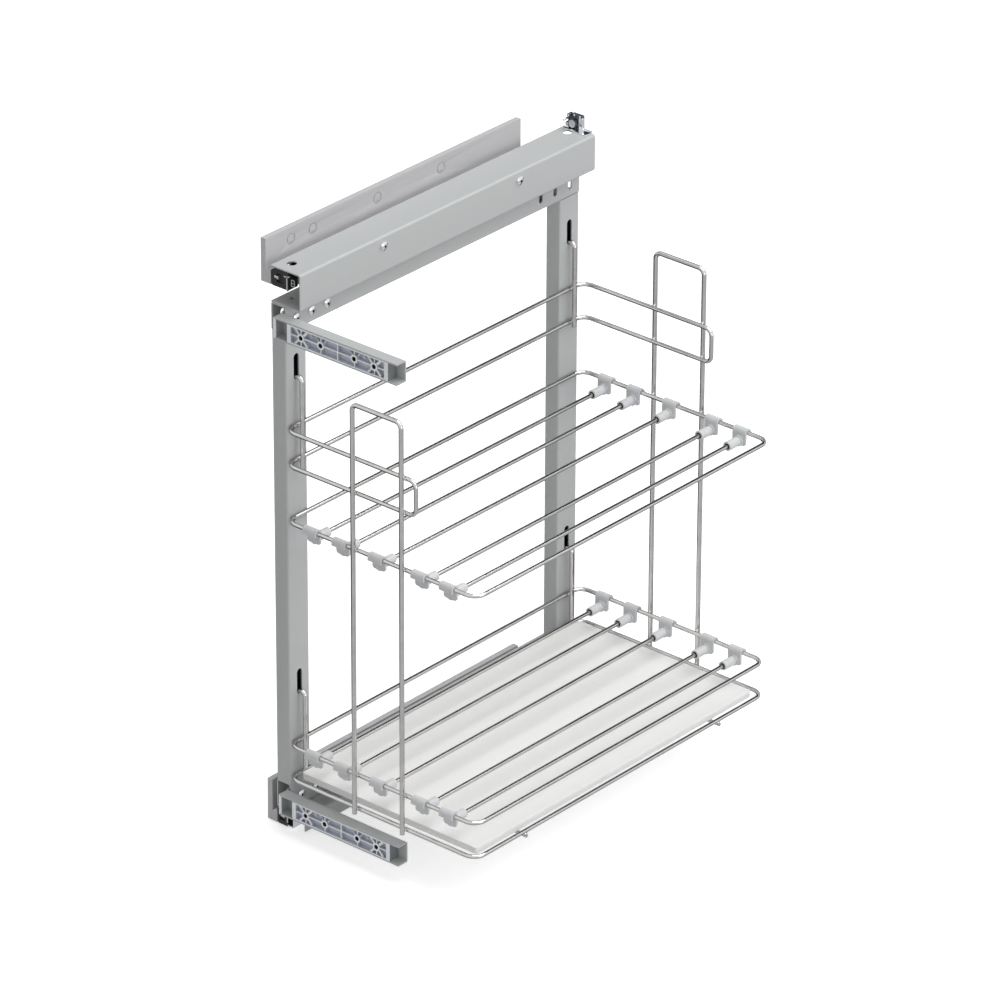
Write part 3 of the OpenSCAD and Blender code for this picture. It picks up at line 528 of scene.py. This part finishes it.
eased = {"wall_side": ["top_rail", "bottom_rail"],
         "pull_frame": ["cover_channel", "skirt_channel", "top_tube", "bottom_tube", "front_post", "rear_post",
                        "top_door_bracket", "bottom_door_bracket", "top_door_insert", "bottom_door_insert",
                        "top_runner_cap", "bottom_runner_cap"]}
SHEET_EASE, CASTING_EASE = 0.4, 0.25
for body, names in eased.items():
    for name in names:
        faces = ease_edges(name, body, CASTING_EASE if "insert" in name else SHEET_EASE)
        print(name, "eased,", faces, "faces")

# %% [markdown]
# The posts' insides get the dark steel as painted shade, which makes their hook
# slots look dark. The inner faces are found by where they lie: deeper than most
# of the wall from every outer side, and not on the cut ends.

# %% Painted shade inside the posts
MOST_OF_WALL = 1.2
for name in ("front_post", "rear_post"):
    post = bpy.data.objects[name + "_eased"]
    low_end, high_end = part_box(name)
    post.data.materials.append(painted_shade_steel)
    lined = 0
    for face in post.data.polygons:
        deep = all(min(face.center[i] - low_end[i], high_end[i] - face.center[i]) > MOST_OF_WALL * MM
                   for i in (0, 1))
        if deep and abs(face.normal.z) < 0.5:
            face.material_index = 1
            lined += 1
    print(name, "lined,", lined, "inner faces")

# %% [markdown]
# The closed left end of each door bracket's channel, behind the arm, gets a
# darker coat: painted shade in the channel.

# %% Door brackets: painted shade inside
channel_painted_shade, tree, shader, spot = start_finish("painted_shade_in_channels", Metallic=0.1, Roughness=0.5)
grit = noise(tree, spot, 1.1, 3.0)
two_tone(tree, shader, grit, "#787C7E", "#878B8D")

CLOSED_END = ((16.4, 34), (-13.4, -0.6), (1.2, 21.8))
for name in ("top_door_bracket", "bottom_door_bracket"):
    bracket = bpy.data.objects[name + "_eased"]
    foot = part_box(name)[0].z
    bracket.data.materials.append(channel_painted_shade)
    inside = 0
    for face in bracket.data.polygons:
        local = face.center / MM - DATUM
        height = (face.center.z - foot) / MM
        within = all(start < at < end for at, (start, end) in zip((local.x, local.y, height), CLOSED_END))
        if within and face.normal.x < 0.5:
            face.material_index = 1
            inside += 1
    print(name, inside, "faces inside")

# %% [markdown]
# The left end of each door bracket carries a narrow white strip over the cut
# edge of the arm. Its white is painted highlight, standing for the bright lit
# cut edge. It is two blocks with rounded edges: a tall one over the arm and a
# shorter one between the flanges.

# %% White painted highlight strips on the door brackets
BRACKET_FEET = (-70, -608)
BRACKET_FRONT, STRIP_BACK = -14.0, -13.0
strips = []
for foot_z in BRACKET_FEET:
    for low_x, high_x, from_z, to_z in ((15.2, 16.5, 0.2, 22.8), (16.4, 18.5, 1.6, 21.4)):
        strip = start_block("bracket_highlight_strip", (low_x, BRACKET_FRONT, foot_z + from_z),
                            (high_x, STRIP_BACK, foot_z + to_z))
        round_edges(strip, lambda mid, way: True, 0.15, 2)
        strips.append(strip)
finish_piece(join_pieces("bracket_edge_highlight_strips", strips), "pull_frame", melamine)

# %% [markdown]
# The inserts are tumbled after casting, and the stones polish the front edges
# of the rim, the ribs and the bosses. Those front faces are drawn near white,
# which is that polish with painted highlight on top. The walls of the screw
# holes get the dark steel as painted shade, and the right end of each insert
# gets the darker channel coat as painted shade, the shadow of its channel.

# %% Inserts: painted highlight on front edges, painted shade in holes and ends
polish_and_painted_highlight, tree, shader, spot = start_finish("tumbled_edges_and_painted_highlight", Metallic=0.15, Roughness=0.3)
scratch = noise(tree, spot, 1.3, 3.0)
two_tone(tree, shader, scratch, "#F2F4F8", "#FBFCFE")

HOLES_X = (51.75, 77.75, 121.75, 147.75)
HOLE_WALL_R, RIB_FRONT, END_SKIN = 2.7, -12.9, 0.3
BRIGHT, DARK_HOLE, DARK_END = 1, 2, 3
for name in ("top_door_insert", "bottom_door_insert"):
    insert = bpy.data.objects[name + "_eased"]
    low_end, high_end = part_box(name)
    hole_z = (low_end.z + high_end.z) / 2
    for finish in (polish_and_painted_highlight, painted_shade_steel, channel_painted_shade):
        insert.data.materials.append(finish)
    bright, dark = 0, 0
    for face in insert.data.polygons:
        local = face.center / MM - DATUM
        from_hole = min(math.hypot(local.x - x, (face.center.z - hole_z) / MM) for x in HOLES_X)
        if face.normal.y < -0.6 and local.y < RIB_FRONT:
            face.material_index = BRIGHT
            bright += 1
        elif face.center.x > high_end.x - END_SKIN * MM:
            face.material_index = DARK_END
            dark += 1
        elif from_hole < HOLE_WALL_R and abs(face.normal.y) < 0.5:
            face.material_index = DARK_HOLE
            dark += 1
    print(name, bright, "bright faces,", dark, "dark faces")

# %% [markdown]
# The tray is a thin board faced with white melamine. A saw leaves a sharp
# edge, so the edges are banded and then eased by a trimmer, and the corners
# are rounded on a sander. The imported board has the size, and this one adds the
# easing and the thin step where the band meets the face.

# %% Tray board
CORNER_R, BAND_T, GROOVE_W, GROOVE_DEEP, RIM_R = 3.0, 0.9, 0.15, 0.12, 0.5
tray_low, tray_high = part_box("tray")


def on_rim(mid, way):
    flat = abs(way.z) < 0.1 and min(abs(mid.z - tray_high.z), abs(mid.z - tray_low.z)) < 1e-6
    from_side = min(mid.x - tray_low.x, tray_high.x - mid.x) / MM
    from_end = min(mid.y - tray_low.y, tray_high.y - mid.y) / MM
    at_edge = min(from_side, from_end) < 0.4
    at_corner = max(from_side, from_end) < 3.0 and from_side + from_end < 2.2
    return flat and (at_edge or at_corner)


tray_board = start_block("tray_faced_board", tray_low / MM - DATUM, tray_high / MM - DATUM)
upright = round_edges(tray_board, lambda mid, way: abs(way.z) > 0.9, CORNER_R, 5)
inset_faces = pick(tray_board, face_test=lambda mid, normal: abs(normal.z) > 0.9)
bpy.ops.mesh.inset(thickness=BAND_T * MM, depth=0.0)
bpy.ops.mesh.inset(thickness=GROOVE_W * MM, depth=-GROOVE_DEEP * MM)
bpy.ops.mesh.inset(thickness=GROOVE_W * MM, depth=GROOVE_DEEP * MM)
bpy.ops.object.mode_set(mode="OBJECT")
rim_edges = round_edges(tray_board, on_rim, RIM_R, 2)
print("tray:", upright, "corners,", inset_faces, "faces inset,", rim_edges, "rim edges eased")
finish_piece(tray_board, "tray_board", melamine)
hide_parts("tray")

# %% [markdown]
# Wherever two wires cross they are resistance welded. The wires sink into each
# other a little and a small bright bead is squeezed out around the joint. One
# bead is modelled, a squashed ball flattened between the wires, and a copy with
# its own mesh goes to every crossing.

# %% Weld beads
LEFT, RIGHT, NEAR, FAR = 21.55, 271.55, -4.25, 451.25
LEVELS = (-274.3, -529.3, -567.8)
HOOP = (-173.0, -211.0)
LEGS = (114.55, 178.55)
FRAME_DEPTH, BAR_IN = 447.0, 75
HALF_PAIR, HALF_PAIR_DOWN, BEAD_R = 2.4, 2.2, 2.7
crossings = []
for leg in LEGS:
    for z in LEVELS + HOOP:
        crossings += [((leg, NEAR - HALF_PAIR, z), "y"), ((leg, FAR + HALF_PAIR, z), "y")]
for y in (SLOT_IN, FRAME_DEPTH - SLOT_IN):
    for z in HOOP + LEVELS[1:]:
        crossings.append(((LEFT + HALF_PAIR, y, z), "x"))
for y in (NEAR + BAR_IN, FAR - BAR_IN):
    for x in (LEFT, RIGHT):
        crossings.append(((x, y, LEVELS[2] - HALF_PAIR_DOWN), "z"))

bpy.ops.object.select_all(action="DESELECT")
bpy.ops.mesh.primitive_ico_sphere_add(subdivisions=3, radius=1.0)
bead = bpy.context.active_object
pick(bead, face_test=lambda mid, normal: abs(mid.z) > 0.55)
bpy.ops.transform.resize(value=(0.72, 0.72, 1.0))
bpy.ops.object.mode_set(mode="OBJECT")
flatness = {"x": (0.55, 1.0, 1.0), "y": (1.0, 0.55, 1.0), "z": (1.0, 1.0, 0.55)}
random.seed(7)
beads = []
for at, way in crossings:
    copy = bpy.data.objects.new("weld_bead", bead.data.copy())
    bpy.context.scene.collection.objects.link(copy)
    size = BEAD_R * MM * random.uniform(0.92, 1.06)
    copy.scale = Vector(flatness[way]) * size
    copy.location = place(*at)
    beads.append(copy)
bpy.data.objects.remove(bead)
welds = join_pieces("wire_weld_beads", beads)
bpy.ops.object.transform_apply(location=True, rotation=True, scale=True)
finish_piece(welds, "basket", chrome, 60)
print(len(crossings), "crossings welded")

# %% [markdown]
# Each runner ends at the front in a black cap with two bright steel parts: a
# small wedge that stops the rattle, and a bent spring strip that runs down past
# the end of the drawer member. The strip is cut from flat steel and folded. The
# upper cap also shows a small window with five bright bars.

# %% Bright parts of the runner caps
WINDOW_BARS = ((27.6, 31.4, 3.3, 3.9), (27.6, 31.4, 0.1, 0.6), (27.6, 31.4, -3.4, -2.8),
               (27.2, 27.8, -3.4, 3.9), (31.2, 31.8, -3.4, 3.9))
cap_parts = []
for low, tall, right, bars in ((-11.5, 10.5, 21.6, WINDOW_BARS), (-619.5, 5.0, 14.2, ())):
    wedge = start_block("cap_wedge", (4.2, -0.35, low - 1.9), (9.4, 0.6, low + 1.9))
    pick(wedge, face_test=lambda mid, normal: normal.y < -0.9)
    bpy.ops.transform.resize(value=(0.35, 1.0, 0.45))
    bpy.ops.transform.translate(value=(-0.9 * MM, 0, 0.5 * MM))
    bpy.ops.object.mode_set(mode="OBJECT")
    strip = start_block("cap_strip", (right - 0.7, -0.3, low - tall), (right + 0.7, 0.9, low + 4.6))
    pick(strip, face_test=lambda mid, normal: normal.z > 0.9)
    bpy.ops.mesh.extrude_region_move(TRANSFORM_OT_translate={"value": (0, 0, 1.2 * MM)})
    bpy.ops.object.mode_set(mode="OBJECT")
    arms = []
    for side, reach, lift in ((-1, 3.4, 0.6), (1, 3.0, 1.9)):
        arm = start_block("cap_arm", (right - 0.6, -0.3, low + 3.6), (right + 0.6, 0.7, low + 4.8))
        pick(arm, face_test=lambda mid, normal, side=side: normal.x * side > 0.9)
        bpy.ops.transform.translate(value=(side * reach * MM, 0, lift * MM))
        bpy.ops.object.mode_set(mode="OBJECT")
        arms.append(arm)
    cap_parts += [wedge, strip] + arms
    for low_x, high_x, low_z, high_z in bars:
        bar = start_block("cap_window_bar", (low_x, -0.3, low + low_z), (high_x, 0.4, low + high_z))
        round_edges(bar, lambda mid, way: True, 0.12, 1)
        cap_parts.append(bar)
cap_steel = join_pieces("runner_cap_springs", cap_parts)
finish_piece(cap_steel, "pull_frame", chrome, 30)

# %% [markdown]
# Each clip's socket opens with a wide mouth. A black ring is set in it as
# painted shade, the dark gap between the mouth and the rod. One ring is made
# from a cylinder by insetting both ends, taking the inner discs out and bridging
# the two holes. Every clip gets a copy with its own mesh, and each pair moves
# with its rod.

# %% Painted shade rings in the sockets
socket_shade_black, tree, shader, spot = start_finish("black_painted_shade_in_sockets", Roughness=0.55)
shade_speckle = noise(tree, spot, 1.2, 3.0)
two_tone(tree, shader, shade_speckle, "#101011", "#1E1E1F")

RING_LEN, RING_D, RING_WALL, SOCKET_IN = 2.4, 6.7, 1.1, 20.8
ring = start_rod("socket_ring", (0, 0, 0), (0, 1, 0), RING_LEN, RING_D, 32)
pick(ring, face_test=lambda mid, normal: abs(normal.y) > 0.9)
bpy.ops.mesh.inset(thickness=RING_WALL * MM, use_individual=True)
bpy.ops.mesh.delete(type="FACE")
bpy.ops.mesh.select_mode(type="EDGE")
bpy.ops.mesh.select_all(action="DESELECT")
bpy.ops.mesh.select_non_manifold()
bpy.ops.mesh.bridge_edge_loops()
bpy.ops.object.mode_set(mode="OBJECT")
for level, rod_z in (("upper", -283.3), ("lower", -538.3)):
    for i, rod_x in enumerate((55.3, 94.05, 142.05, 198.3, 235.55), 1):
        pair = []
        for ring_y in (NEAR + SOCKET_IN, FAR - SOCKET_IN - RING_LEN):
            copy = bpy.data.objects.new("socket_ring_copy", ring.data.copy())
            bpy.context.scene.collection.objects.link(copy)
            copy.location = Vector((rod_x, ring_y, rod_z)) * MM
            pair.append(copy)
        pair = join_pieces(level + "_painted_shade_rings_" + str(i), pair)
        bpy.ops.object.transform_apply(location=True, rotation=True, scale=True)
        finish_piece(pair, level + "_divider_" + str(i), socket_shade_black)
bpy.data.objects.remove(ring)

# %% [markdown]
# The rear catch hooks onto the cabinet's rear fitting. It is stamped and
# riveted from bright strip with black springs: a base and a wall, an upright
# with a heavy bar on top, a knob, a spring tube and a thin lever that points
# to the front. Plain blocks and rods are cut to size, each one's edges are
# rounded, and the pieces are joined into one.

# %% Rear catch
catch_parts = []
for part_name, low_end, high_end, radius, finish in (
        ("catch_base", (2, 438, 0), (34, 448, 1), 0.3, barrel_plate),
        ("catch_wall", (2, 448, 0), (12, 450, 6), 0.4, barrel_plate),
        ("catch_foot", (11.6, 448, 0), (34, 450, 1.4), 0.4, barrel_plate),
        ("catch_upright", (19.6, 444.4, 0.5), (24.6, 448.2, 14.4), 0.5, barrel_plate),
        # The dark plate behind the works is painted shade between the parts of the catch.
        ("catch_painted_shade_plate", (3.4, 446.8, 0.8), (19.7, 448, 13.2), 0.3, blackened_steel_and_painted_shade),
        ("catch_bar", (10.2, 444.4, 13.9), (24.2, 448.6, 16.95), 0.7, blackened_steel_and_painted_shade),
        ("catch_stop", (8.8, 444.6, 0.8), (10.4, 447, 9.5), 0.3, blackened_steel_and_painted_shade)):
    part = start_block(part_name, low_end, high_end)
    round_edges(part, lambda mid, way: True, radius, 3)
    part.data.materials.append(finish)
    catch_parts.append(part)
for part_name, foot, length, diameter, finish in (
        ("catch_knob", (7.9, 441.6, 14.7), 6.0, 4.2, blackened_steel_and_painted_shade),
        ("catch_knob_pin", (7.9, 441.2, 14.7), 6.2, 2.5, barrel_plate),
        ("catch_spring_tube", (5.8, 442.4, 4.6), 5.4, 5.0, blackened_steel_and_painted_shade),
        ("catch_spring_pin", (5.8, 442.0, 4.6), 5.6, 2.7, barrel_plate),
        ("catch_lever", (6.4, 435.6, 11.2), 11.6, 2.2, barrel_plate),
        ("catch_bar_rivet_left", (13.6, 443.9, 15.4), 1.5, 2.2, barrel_plate),
        ("catch_bar_rivet_right", (21.2, 443.9, 15.4), 1.5, 2.2, barrel_plate)):
    part = start_rod(part_name, foot, (0, 1, 0), length, diameter, 24)
    round_edges(part, lambda mid, way: abs(way.y) < 0.5, diameter * 0.12, 3)
    part.data.materials.append(finish)
    catch_parts.append(part)
catch_works = join_pieces("rear_catch_works", catch_parts)
finish_piece(catch_works, "pull_frame", barrel_plate)
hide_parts("catch_plate")

# %% [markdown]
# The studio. A big soft lamp above the unit lights its top faces, a weaker one
# at the right lights its right sides, and the white surround gives the rest,
# so the faces that look to the front stay darker, as in the photograph. The
# floor is pale and keeps the unit's soft shadow. Light Path tells the floor
# and the surround when the camera or a mirror looks at them, and only then are
# they drawn white, so the unit gets no extra light.

# %% Surround
STUDIO_MIDDLE = Vector((0.15, 0.2, 0.0))


def seen_by_camera_or_mirror(tree):
    path = add_node(tree, "ShaderNodeLightPath")
    seen = add_node(tree, "ShaderNodeMath", {0: path.outputs["Is Camera Ray"], 1: path.outputs["Is Glossy Ray"]},
                    operation="ADD")
    seen = add_node(tree, "ShaderNodeMath", {0: seen.outputs[0], 1: path.outputs["Is Transmission Ray"]},
                    operation="ADD", use_clamp=True)
    return seen.outputs[0]


surround = bpy.data.worlds.new("white_surround")
bpy.context.scene.world = surround
surround.use_nodes = True
tree = surround.node_tree
tree.nodes.clear()
room = add_node(tree, "ShaderNodeBackground", values={"Color": (1, 1, 1, 1), "Strength": 0.38})
white = add_node(tree, "ShaderNodeBackground", values={"Color": (1, 1, 1, 1), "Strength": 1.0})
seen = seen_by_camera_or_mirror(tree)
mixed = add_node(tree, "ShaderNodeMixShader", {0: seen, 1: room.outputs[0], 2: white.outputs[0]})
add_node(tree, "ShaderNodeOutputWorld", {"Surface": mixed.outputs[0]})
print("surround ready")

# %% Floor
FLOOR_GAP = 0.002
floor_z = model_box[0][2] - FLOOR_GAP
bpy.ops.object.select_all(action="DESELECT")
bpy.ops.mesh.primitive_plane_add(size=7.0, location=(STUDIO_MIDDLE.x, STUDIO_MIDDLE.y, floor_z))
floor = bpy.context.active_object
floor.name = "studio_floor"
paper = bpy.data.materials.new("pale_studio_floor")
paper.use_nodes = True
tree = paper.node_tree
tree.nodes.clear()
matt = add_node(tree, "ShaderNodeBsdfDiffuse", values={"Color": (0.80, 0.80, 0.80, 1)})
seen = seen_by_camera_or_mirror(tree)
glow = add_node(tree, "ShaderNodeEmission", {"Strength": seen}, {"Color": (0.62, 0.62, 0.62, 1)})
both = add_node(tree, "ShaderNodeAddShader", {0: matt.outputs[0], 1: glow.outputs[0]})
add_node(tree, "ShaderNodeOutputMaterial", {"Surface": both.outputs[0]})
floor.data.materials.append(paper)
print("floor at", round(floor_z, 4))

# %% [markdown]
# Chrome shows its surroundings, and in an all white room it would vanish. A
# real studio sets dark boards around such a product, so that every wire gets
# dark lines along its length. Here a wide board hangs high behind the unit and
# puts a dark line on the upper side of the long wires. Grey felt lies on the
# floor all around, and two darker pieces of felt, at the left and behind, put
# thin dark lines on the edges of the upright wires. Only mirror reflections see
# them, so they take no light from the unit.

# %% Dark boards for the chrome
felt_z = model_box[0][2] + 0.001
for board_name, spot_at, width, depth, lies_flat, tone in (
        ("dark_board_high_behind", Vector((-0.33, 2.93, 2.2)), 4.8, 1.7, False, "#3A3840"),
        ("grey_felt_around", Vector((0.15, 0.2, felt_z - 0.001)), 6.6, 6.6, True, "#CFCED2"),
        ("dark_felt_left", Vector((-1.36, -0.1, felt_z)), 2.48, 1.2, True, "#55535A"),
        ("dark_felt_behind", Vector((-1.15, 1.65, felt_z)), 2.9, 2.3, True, "#55535A")):
    bpy.ops.object.select_all(action="DESELECT")
    bpy.ops.mesh.primitive_plane_add(size=1.0, location=spot_at)
    board = bpy.context.active_object
    board.name = board_name
    board.scale = (width, depth, 1)
    if not lies_flat:
        board.rotation_euler = (STUDIO_MIDDLE - spot_at).to_track_quat("Z", "Y").to_euler()
    felt = bpy.data.materials.new(board_name)
    felt.use_nodes = True
    tree = felt.node_tree
    tree.nodes.clear()
    dull = add_node(tree, "ShaderNodeEmission", values={"Color": linear(tone), "Strength": 1.0})
    add_node(tree, "ShaderNodeOutputMaterial", {"Surface": dull.outputs[0]})
    board.data.materials.append(felt)
    for ray in ("camera", "diffuse", "transmission", "volume_scatter", "shadow"):
        setattr(board, "visible_" + ray, False)
print("dark boards up")

# %% Lamps
for lamp_name, spot_at, size, watts in (
        ("key_softbox", Vector((1.3, 0.9, 3.3)), 4.0, 122.0),
        ("side_softbox", Vector((3.4, 0.1, 0.5)), 1.8, 14.0)):
    lamp_data = bpy.data.lights.new(lamp_name, "AREA")
    lamp_data.shape = "SQUARE"
    lamp_data.size = size
    lamp_data.energy = watts
    lamp = bpy.data.objects.new(lamp_name, lamp_data)
    bpy.context.scene.collection.objects.link(lamp)
    lamp.location = spot_at
    toward = STUDIO_MIDDLE - spot_at
    lamp.rotation_euler = toward.to_track_quat("-Z", "Y").to_euler()
    print(lamp_name, "at", [round(v, 2) for v in spot_at])

# %% Colour management
bpy.context.scene.view_settings.view_transform = "Standard"
